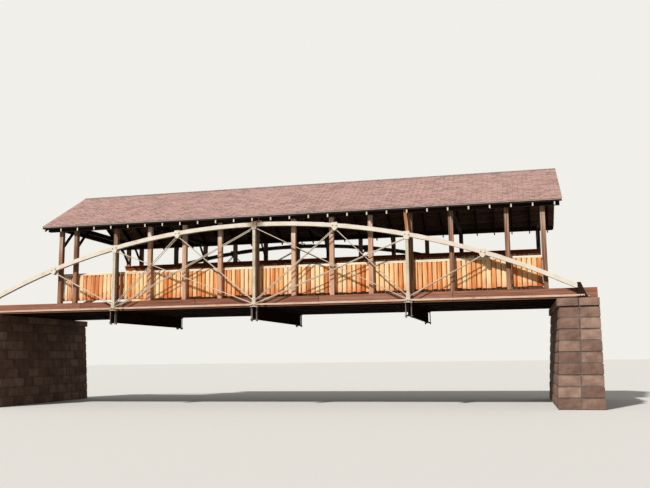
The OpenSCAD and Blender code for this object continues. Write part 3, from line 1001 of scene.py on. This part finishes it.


# Unpainted pine, bleached by the sun: almost cream near the eave, and brown on the posts that get
# painted shade
post_stops = [(0, "#432a1e"), (0.22, "#8a6b58"), (0.55, "#d4b6a0"), (1, "#f2e0d0")]
post_wood = sawn_wood("weathered_post_pine", post_stops, UPRIGHT, differ=0.6)
darken_below(post_wood, POST_BLEACH_Z, POST_BLEACH_FADE, "#efd6c6")
for side, tone_low in POST_TONES.items():
    posts = post_row(side + "_timber_posts", side + "_roof_posts", tone_low)
    hand_over(posts, post_wood, "post_timber", side + "_roof_posts")

# %% [markdown]
# ## Hand rails
#
# The rail on the front boards is a cap in four-metre lengths, with a strip below it that the boards
# end under, and two nailers on the inside that hold the boards. The rail on the high rear wall is
# in the roof's shade, and still red. One long bar would look like a moulding. The helper for planks
# gives each length its own tone and a joint to the next. The leaning board at the eave is newer,
# and still orange.

# %% Hand rails
RAIL_LENGTH = 4.1
RAIL_CAP_BEVEL = 0.007
RAIL_STRIP_BEVEL = 0.003
NAILER_T = 0.04
NAILER_H = 0.09
NAILER_BEVEL = 0.005


def rail_boards(side, node, boards_node):
    """The cap over the railing boards with the strip below it, and the nailers on the inside."""
    low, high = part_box(node)
    boards_low, boards_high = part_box(boards_node)
    if low.y < 0:
        nailer_y = (boards_high.y, boards_high.y + NAILER_T)
    else:
        nailer_y = (boards_low.y - NAILER_T, boards_low.y)
    cap_low = (low.x, low.y, boards_high.z)
    cap = plank_row("cap", cap_low, high, RAIL_LENGTH, RAIL_CAP_BEVEL)
    strip_low = (low.x, boards_low.y, boards_high.z - RAIL_STRIP_H)
    strip = plank_row("strip", strip_low, boards_high, RAIL_LENGTH, RAIL_STRIP_BEVEL)
    nailers = []
    for top in (boards_high.z, low.z + NAILER_H):
        nailer_low = (low.x, nailer_y[0], top - NAILER_H)
        nailer_high = (high.x, nailer_y[1], top)
        nailers.append(plank_row("nailer", nailer_low, nailer_high, RAIL_LENGTH, NAILER_BEVEL))
    return join(side + "_rail_cap", [cap, strip]), join(side + "_nailers", nailers)


# Bare pine, worn smooth by hands and bleached: the palest wood of the bridge
rail_stops = [(0, "#d8bf9e"), (0.4, "#f2dfc0"), (1, "#fff3dc")]
rail_wood = sawn_wood("weathered_rail_pine", rail_stops, ALONG_BRIDGE, differ=0.3)

# Pine under the old red stain, deep and even where no sun reaches it
red_stops = [(0, "#7a3820"), (0.5, "#a8582f"), (1, "#c57548")]
red_rail = sawn_wood("red_stained_rail", red_stops, ALONG_BRIDGE, differ=0.3)
for side, wood in (("front", rail_wood), ("rear", red_rail)):
    cap, nailers = rail_boards(side, side + "_hand_rail", side + "_railing_boards")
    hand_over(cap, wood, "post_timber", side + "_hand_rail")
    hand_over(nailers, red_rail, "post_timber")

# New pine that hasn't greyed yet: a light orange, lively in its grain
strut_stops = [(0, "#9c6138"), (0.5, "#bb8459"), (1, "#cf9d72")]
new_pine = sawn_wood("orange_strut_pine", strut_stops, UPRIGHT)
finish_nodes(new_pine, "eave_strut")

# %% [markdown]
# ## Weathered iron
#
# The trusses are old iron under a thin pale coat. Rust comes through it as brown specks and faint
# stains. A metallic material would be the first thing to try, but bleached paint is matt: only
# bare bright metal mirrors its surroundings. So the coat is a rough paint in two tones, and rust
# replaces it where a broad noise and a fine one are both high, which gathers the specks into
# groups. Real specks start at a few millimetres, and are drawn at 14 mm, so that they show.

# %% Iron under a worn coat
CLOUD_MM = 290
SPECK_MM = 14
SPECK_DEPTH = 0.0015
SPECK_EDGE = 0.06
COAT_ROUGHNESS = 0.55
RUST_ROUGHNESS = 0.9


def weathered_iron(name, coat, stain, rust, rust_from, shine=0.3):
    """Old iron with a bleached coat, broad soft stains, and specks of rust. The higher the
    value that rust starts from, the fewer specks there are."""
    material, tree, surface = new_material(name, Metallic=0.0, Specular_IOR_Level=shine)
    place = add_node(tree, "TexCoord").outputs["Object"]
    clouds = add_node(tree, "TexNoise", {
        "Vector": place, "Scale": spots(CLOUD_MM), "Detail": 5, "Roughness": 0.6})
    specks = add_node(tree, "TexNoise", {
        "Vector": place, "Scale": spots(SPECK_MM), "Detail": 4, "Roughness": 0.7})
    stained = add_node(tree, "ValToRGB", {
        "Fac": clouds.outputs[0]}, stops=[(0.38, coat), (0.72, stain)])
    both_noises = add_node(tree, "Math", {
        0: clouds.outputs[0], 1: specks.outputs[0]}, operation="MULTIPLY")
    rusty = add_node(tree, "MapRange", {
        "Value": both_noises.outputs[0], "From Min": rust_from,
        "From Max": rust_from + SPECK_EDGE})
    colour = add_node(tree, "MixRGB", {
        "Fac": rusty.outputs[0], "Color1": stained.outputs[0], "Color2": linear(rust)})
    dull = add_node(tree, "MapRange", {
        "Value": rusty.outputs[0], "To Min": COAT_ROUGHNESS, "To Max": RUST_ROUGHNESS})
    relief = add_node(tree, "Bump", {
        "Height": specks.outputs[0], "Strength": 0.35, "Distance": SPECK_DEPTH})
    tree.links.new(colour.outputs[0], surface.inputs["Base Color"])
    tree.links.new(dull.outputs[0], surface.inputs["Roughness"])
    tree.links.new(relief.outputs[0], surface.inputs["Normal"])
    return material


print("stains of", CLOUD_MM, "mm and specks of", SPECK_MM, "mm")

# %% [markdown]
# An upright bolt stands on the crown of the front arch, and the iron around it has rusted through
# its coat. The arch could get a second material there, but its edge would be a straight line. So
# the one material turns to rust near a point, and a noise makes the edge uneven.

# %% Rust at the crown
CROWN_BOLT = (0.06, -2.6, 5.78)
CROWN_RUST_RADIUS = 0.5
CROWN_EDGE_MM = 70


def add_rust_near(material, point, radius, rust):
    """Turns iron to rust near a point, fading out with an uneven edge at a radius in metres."""
    tree = material.node_tree
    surface = tree.nodes["Principled BSDF"]
    clean = surface.inputs["Base Color"].links[0].from_socket
    place = add_node(tree, "TexCoord").outputs["Object"]
    away = add_node(tree, "VectorMath", {0: place, 1: point}, operation="DISTANCE")
    edge = add_node(tree, "TexNoise", {
        "Vector": place, "Scale": spots(CROWN_EDGE_MM), "Detail": 4})
    uneven = add_node(tree, "Math", {
        0: edge.outputs[0], 1: radius / 2, 2: away.outputs["Value"]}, operation="MULTIPLY_ADD")
    rust_share = add_node(tree, "MapRange", {
        "Value": uneven.outputs[0], "From Min": radius / 2, "From Max": radius,
        "To Min": 1, "To Max": 0})
    rusted = add_node(tree, "MixRGB", {
        "Fac": rust_share.outputs[0], "Color1": clean, "Color2": linear(rust)})
    tree.links.new(rusted.outputs[0], surface.inputs["Base Color"])


# Iron under a coat that the sun has bleached to cream, matt, with rust around the crown's bolt
arch_iron = weathered_iron(
    "bleached_arch_iron", "#ded3c3", "#d0c0a8", "#86593a", rust_from=0.37)
add_rust_near(arch_iron, CROWN_BOLT, CROWN_RUST_RADIUS, "#6f523d")
finish_nodes(arch_iron, "front_arch", "front_arch_clips")

# %% [markdown]
# The rest of the iron differs by where it is. On the sunny front the coat has turned to tan on the
# posts and rods. The rear truss and the hangers are painted dull and dark as painted shade, and the
# tie bars carry a painted reflection of the edge boards. One colour for all of it would look new.
# Each group gets its own colours from the same function instead, so that they still look like one
# bridge. The floor beams and the shoes have lost their coat, and are almost black.

# %% Iron of the rods, bars, hangers and beams
# The same coat, worn thinner on posts and rods: tan, matt, and with more specks of rust
rod_iron = weathered_iron("tan_rod_iron", "#cbbfaa", "#b5a285", "#7c5236", rust_from=0.34)
finish_nodes(rod_iron, "front_foot_castings", "front_iron_posts", "front_rods_left",
             "front_rods_right")

# The tie bars lie against the brown-red edge boards, and a pink-brown tint is painted on them as
# painted reflection of those boards
tie_iron = weathered_iron("tinted_tie_iron", "#ceb49e", "#b9957d", "#86553a", rust_from=0.34)
finish_nodes(tie_iron, "front_tie_bars")

# The hangers hang in shade under the walkway, and are painted a dull grey-brown as painted shade
hanger_iron = weathered_iron(
    "shade_darkened_hanger_iron", "#8f877b", "#75695c", "#5a3b28", rust_from=0.32, shine=0.15)
finish_nodes(hanger_iron, "front_hangers")

# Painted shade over the whole rear truss: a dull dark grey-brown that keeps it behind the front one
painted_shade_iron = weathered_iron(
    "shade_darkened_rear_iron", "#4e473e", "#3d352c", "#4a3020", rust_from=0.3, shine=0.15)
rear_parts = ("arch", "arch_clips", "tie_bars", "foot_castings", "iron_posts", "rods_left",
              "rods_right", "hangers")
finish_nodes(painted_shade_iron, *["rear_" + part for part in rear_parts])

# Bare iron, rusted dark brown all over: no coat is left to shine
beam_iron = weathered_iron(
    "rusted_beam_iron", "#2c211b", "#362921", "#4a2c1c", rust_from=0.3, shine=0)
finish_nodes(beam_iron, *beams, "front_heel_shoes", "rear_heel_shoes")

# %% [markdown]
# ## Batten plates and rivets
#
# An arch of two channels needs ties between them, or each would buckle by itself. Riveted batten
# plates do that, over and under the channels, at even steps between the castings. Dots in the
# material could stand for the rivets, but they would cast no shadow. So one plate is made lying
# flat: a thin block with its edges broken, and at each corner a rivet, half of a flattened ball.

# %% One batten plate
PLATE_L = 0.22
PLATE_W = 0.118
PLATE_T = 0.005
PLATE_BEVEL = 0.002
RIVET_R = 0.01
RIVET_FLATNESS = 0.7
RIVET_X = 0.08
RIVET_Y = 0.042


def copy_to(name, piece, places):
    """Moves copies of a piece to every place and makes them one piece. The first is used up."""
    copies = []
    for place in places:
        copies.append(copied(name, piece))
        move_to(copies[-1], place=place)
    bpy.data.objects.remove(piece)
    return join(name, copies)


plate = add_block("plate", (-PLATE_L / 2, -PLATE_W / 2, 0), (PLATE_L / 2, PLATE_W / 2, PLATE_T))
apply_modifier(plate, "BEVEL", width=PLATE_BEVEL, segments=1)
bpy.ops.object.select_all(action="DESELECT")
bpy.ops.mesh.primitive_uv_sphere_add(segments=8, ring_count=4, radius=RIVET_R)
rivet = bpy.context.object
rivet.scale = (1, 1, RIVET_FLATNESS)
move_to(rivet)
corners = [(x, y, PLATE_T) for x in (-RIVET_X, RIVET_X) for y in (-RIVET_Y, RIVET_Y)]
plate = join("plate", [plate, copy_to("rivets", rivet, corners)])
print("plate with", len(corners), "rivets")

# %% [markdown]
# Placing each plate on the curve would need an angle for every one. It is easier to copy the plate
# along a straight line, and then to bend the whole line onto the arch's circle, which keeps every
# plate and rivet square to the curve. The circle follows from the arch's rise and the span between
# its ends.

# %% Batten plates along the arch
ARCH_RISE = 2.25
ARCH_DEPTH = 0.125
# The places of the arch's castings from its middle, in panels of the truss
CLIP_PANELS = (0, 0.54, 1, 1.46, 2)
PLATES_PER_GAP = 3

arch_low, arch_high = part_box("front_arch")
half_span = arch_high.x
panel = half_span / 2
arch_radius = (half_span ** 2 + ARCH_RISE ** 2) / (2 * ARCH_RISE)
crown_z = arch_high.z - ARCH_DEPTH / 2
truss_y = -(arch_low.y + arch_high.y) / 2

clips = sorted({side * share * panel for side in (-1, 1) for share in CLIP_PANELS})
plates_x = [start + (end - start) * (n + 0.5) / PLATES_PER_GAP
            for start, end in zip(clips, clips[1:]) for n in range(PLATES_PER_GAP)]
along = [arch_radius * math.asin(x / arch_radius) for x in plates_x]
upper = copy_to("upper", plate, [(s, 0, ARCH_DEPTH / 2) for s in along])
lower = copied("lower", upper)
points = read_points(lower)
points[:, 1:] *= -1
write_points(lower, points)
battens = join("front_batten_plates", [upper, lower])
points = read_points(battens)
turn = points[:, 0] / arch_radius
reach = arch_radius + points[:, 2]
points[:, 0] = reach * np.sin(turn)
points[:, 1] -= truss_y
points[:, 2] = crown_z - arch_radius + reach * np.cos(turn)
write_points(battens, points)
rear_battens = turned_round("rear_batten_plates", battens, 0)
hand_over(rear_battens, painted_shade_iron, "arch_iron")
hand_over(battens, arch_iron, "arch_iron")

# %% [markdown]
# ## Nuts
#
# Every joint of the iron is held by bolts. A nut is six-sided, its corners are turned off where it
# meets the wrench, and the bolt's end stands out of it. A plain six-sided block would catch no
# light on its rim, so both the nut and the bolt's end are cylinders with bevelled edges. All their
# sizes are shares of the nut's width, so that one function makes nuts of any size.

# %% One nut
NUT_RADIUS = 0.577
NUT_H = 0.6
NUT_BEVEL = 0.06
BOLT_RADIUS = 0.3
BOLT_L = 0.4
BOLT_MIDDLE = 0.75
BOLT_BEVEL = 0.05


def add_nut(width, turn=(0, 0, 0)):
    """A hexagonal nut with a bolt's end, which stands on the plane z = 0 and is then turned."""
    bpy.ops.object.select_all(action="DESELECT")
    bpy.ops.mesh.primitive_cylinder_add(
        vertices=6, radius=width * NUT_RADIUS, depth=width * NUT_H)
    nut = bpy.context.object
    move_to(nut, place=(0, 0, width * NUT_H / 2))
    apply_modifier(nut, "BEVEL", width=width * NUT_BEVEL, segments=1)
    bpy.ops.object.select_all(action="DESELECT")
    bpy.ops.mesh.primitive_cylinder_add(
        vertices=10, radius=width * BOLT_RADIUS, depth=width * BOLT_L)
    end = bpy.context.object
    move_to(end, place=(0, 0, width * BOLT_MIDDLE))
    apply_modifier(end, "BEVEL", width=width * BOLT_BEVEL, segments=1)
    nut = join("nut", [nut, end])
    move_to(nut, turn=turn)
    return nut


print("a nut is", NUT_H, "of its width high, and its bolt", BOLT_MIDDLE + BOLT_L / 2)

# %% [markdown]
# The nuts sit where the iron is bolted: on both sides of the clips on the arch and of the flat tie
# bars, and on the heel shoes, whose bolts go down into the masonry. Their places are worked out
# from the boxes of those parts, so that no nut floats in front of its part. The rear truss is the
# front one turned round, and so are its nuts.

# %% Nuts on the iron
SIDE_NUT = 0.032
SIDE_NUT_STEP = 0.035
CLIP_NUT_STEP = 0.055
HEEL_NUTS = (0.05, 0.13)
ANCHOR_NUT = 0.038
ANCHORS_X = (-0.045, 0.305)
ANCHOR_Y = 0.055
SHOE_BASE_T = 0.03


def arch_height(x):
    """The height of the arch's middle line at a place along the bridge."""
    return crown_z - arch_radius + math.sqrt(arch_radius ** 2 - x * x)


clip_low, clip_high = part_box("front_arch_clips")
tie_low, tie_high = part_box("front_tie_bars")
tie_z = (tie_low.z + tie_high.z) / 2
anchor_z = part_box("front_heel_shoes")[0].z + SHOE_BASE_T
on_ties = [x + step for x in (-panel, 0, panel) for step in (-SIDE_NUT_STEP, SIDE_NUT_STEP)]
on_ties += [side * (half_span + step) for side in (-1, 1) for step in HEEL_NUTS]
on_clips = [x + step for x in clips[1:-1] for step in (-CLIP_NUT_STEP, CLIP_NUT_STEP)]
anchors = [(side * (half_span + x), y - truss_y, anchor_z)
           for side in (-1, 1) for x in ANCHORS_X for y in (-ANCHOR_Y, ANCHOR_Y)]
batches = []
for out, tie_face, clip_face in ((-1, tie_low.y, clip_low.y), (1, tie_high.y, clip_high.y)):
    places = [(x, tie_face, tie_z) for x in on_ties]
    places += [(x, clip_face, arch_height(x)) for x in on_clips]
    nut = add_nut(SIDE_NUT, turn=(-out * math.pi / 2, 0, 0))
    batches.append(copy_to("side_nuts", nut, places))
batches.append(copy_to("anchor_nuts", add_nut(ANCHOR_NUT), anchors))
nuts = join("front_nuts", batches)
rear_nuts = turned_round("rear_nuts", nuts, 0)
hand_over(rear_nuts, painted_shade_iron, "arch_iron")
hand_over(nuts, rod_iron, "arch_iron")

# %% [markdown]
# ## Stone abutments
#
# Both ends of the bridge rest on walls of squared sandstone. A mason leaves the faces rough and
# dresses only the joints, so each stone bulges a little and its edges lie back. Joints drawn on a
# flat wall would leave its corners straight. So one stone is a block cut into nine on every face,
# with its edges pulled in, and two of them, one behind the other, go through the wall.

# %% A pair of stones
JOINT = 0.014
EDGE_BACK = 0.012
CORNER_NEAR = 1e-4


def add_stones(length, height, depth):
    """Two stones one behind the other that fill a box, with dressed edges that lie back from the
    rough faces."""
    pair = []
    for n in (0, 1):
        front = n * depth / 2 + n * JOINT / 2
        back = (n + 1) * depth / 2 - (1 - n) * JOINT / 2
        low = np.array((JOINT / 2, JOINT / 2, front))
        high = np.array((length - JOINT / 2, height - JOINT / 2, back))
        stone = add_block("stone", low, high)
        edit_faces(stone, lambda middle, normal: True)
        bpy.ops.mesh.subdivide(number_cuts=2)
        leave_edit()
        points = read_points(stone)
        at_low = np.isclose(points, low, atol=CORNER_NEAR)
        at_high = np.isclose(points, high, atol=CORNER_NEAR)
        on_edge = (at_low | at_high).sum(axis=1, keepdims=True) > 1
        points += on_edge * (at_low * EDGE_BACK - at_high * EDGE_BACK)
        write_points(stone, points)
        pair.append(stone)
    return join("stones", pair)


print("joints of", JOINT, "m, edges", EDGE_BACK, "m behind the faces")

# %% [markdown]
# The stones are laid in staggered courses by the helper that laid the roof boards. Then the surface
# gets its roughness, the wall stands up, and its outer face leans back, as masons build a wall that
# holds earth. Leaning each stone before it is laid would open the joints, so the whole wall leans
# at once.

# %% Wall of stones
COURSE_H = 0.314
STONE_L = 0.6
COPING_H = 0.25
COPING_OVER = 0.05
BATTER = 0.18
STONE_ROUGHNESS = 0.009
UP_ALONG_Y = (math.pi / 2, 0, math.pi / 2)


def roughen(piece, depth):
    """Pushes every point of a piece inwards by its own part of a depth."""
    normals = np.empty(len(piece.data.vertices) * 3)
    piece.data.vertices.foreach_get("normal", normals)
    points = read_points(piece)
    push = dice.uniform(0, depth, (len(points), 1))
    write_points(piece, points - normals.reshape(-1, 3) * push)


def lean_back(piece, low, high, top):
    """Leans the face at the lower X back by the batter. The back at the higher X stays upright."""
    points = read_points(piece)
    narrowing = 1 - BATTER / (high.x - low.x) * points[:, 2] / top
    points[:, 0] = high.x - (high.x - points[:, 0]) * narrowing
    write_points(piece, points)


ground_low, ground_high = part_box("right_abutment")
wall_top = ground_high.z - COPING_H
wall_side = ground_high.y - COPING_OVER
wall_depth = ground_high.x - ground_low.x
wall_rows = round(wall_top / COURSE_H)
wall_cols = round(2 * wall_side / STONE_L)
stone_l = 2 * wall_side / wall_cols
stone_h = wall_top / wall_rows
wall = lay_courses("right_wall_stones", add_stones(stone_l, stone_h, wall_depth), wall_rows,
                   wall_cols, -wall_side, stone_l, stone_h, parts=2)
roughen(wall, STONE_ROUGHNESS)
move_to(wall, turn=UP_ALONG_Y, place=(ground_low.x, 0, 0))
lean_back(wall, ground_low, ground_high, wall_top)

# %% [markdown]
# A coping of larger flat stones covers the wall and stands out from it by 5 cm, to throw the rain
# clear of the joints. They are made by the same function as the others. The joints could be left
# open, but one would then see through them. A core of mortar, set back from the faces, fills them,
# and takes one block in place of a strip for every joint.

# %% Cap stones and mortar
COPING_L = 1.02
CORE_INSET = 0.03

coping_depth = ground_high.x - (ground_low.x + BATTER - COPING_OVER)
coping_count = round(2 * ground_high.y / COPING_L)
coping_l = 2 * ground_high.y / coping_count
coping = add_stones(coping_l, COPING_H, coping_depth)
coping.name = "right_cap_stones"
repeat(coping, coping_count, (coping_l, 0, 0))
paint_tone(coping, dice.uniform(0, 1, 2 * coping_count))
roughen(coping, STONE_ROUGHNESS / 2)
coping_place = (ground_high.x - coping_depth, -ground_high.y, wall_top)
move_to(coping, turn=UP_ALONG_Y, place=coping_place)

core = add_block(
    "right_mortar", (ground_low.x + CORE_INSET, -wall_side + CORE_INSET, 0),
    (ground_high.x - CORE_INSET, wall_side - CORE_INSET, ground_high.z - CORE_INSET))
lean_back(core, ground_low, ground_high, wall_top)
print("coping of", coping_count, "stones,", round(coping_l, 2), "m long")

# %% [markdown]
# Sandstone is grains of sand in a natural cement, split by hand. It is dry and matt, its stains are
# soft and a foot or so wide, and no two stones have one colour. A single colour with a bump would
# look like plaster. So a broad noise gives the stains, the stored tone shifts each stone, and a
# fine noise gives the grain. Sand grains are finer than a millimetre, and are drawn at 11 mm, so
# that they show. The left abutment is the right one turned round.

# %% Stone and mortar finishes
STONE_STAIN_MM = 330
SAND_MM = 11
SAND_DEPTH = 0.004


def sandstone(name, stops, differ):
    """Sandstone or its mortar: fine grains, soft stains, and a tone for each stone."""
    material, tree, surface = new_material(name, Roughness=0.95, Specular_IOR_Level=0.2)
    place = add_node(tree, "TexCoord").outputs["Object"]
    stains = add_node(tree, "TexNoise", {
        "Vector": place, "Scale": spots(STONE_STAIN_MM), "Detail": 5, "Roughness": 0.65})
    grains = add_node(tree, "TexNoise", {"Vector": place, "Scale": spots(SAND_MM), "Detail": 4})
    stone_tone = add_node(tree, "Attribute", attribute_name="tone")
    spread = add_node(tree, "MapRange", {
        "Value": stains.outputs[0], "From Min": NOISE_LOW, "From Max": NOISE_HIGH,
        "To Min": 0, "To Max": 1 - differ})
    shift = add_node(tree, "Math", {
        0: stone_tone.outputs["Fac"], 1: differ, 2: spread.outputs[0]},
        operation="MULTIPLY_ADD")
    colour = add_node(tree, "ValToRGB", {"Fac": shift.outputs[0]}, stops=stops)
    relief = add_node(tree, "Bump", {
        "Height": grains.outputs[0], "Strength": 0.7, "Distance": SAND_DEPTH})
    tree.links.new(colour.outputs[0], surface.inputs["Base Color"])
    tree.links.new(relief.outputs[0], surface.inputs["Normal"])
    return material


# Brown-red sandstone, dry and matt, each stone a little warmer or greyer than the next
stone_stops = [(0, "#5c463c"), (0.5, "#846758"), (1, "#a98c79")]
stone_face = sandstone("brown_sandstone", stone_stops, differ=0.5)

# Mortar of sand and lime, a grey-brown that only darkens the joints
mortar_face = sandstone("sandy_mortar", [(0, "#574c44"), (1, "#7c7066")], differ=0)
masonry = ((wall, stone_face, ["abutment"]), (coping, stone_face, []), (core, mortar_face, []))
for piece, face, stands_for in masonry:
    left = turned_round(piece.name.replace("right", "left"), piece, 0)
    for side, stones in (("left", left), ("right", piece)):
        hand_over(stones, face, "masonry", *[side + "_" + node for node in stands_for])
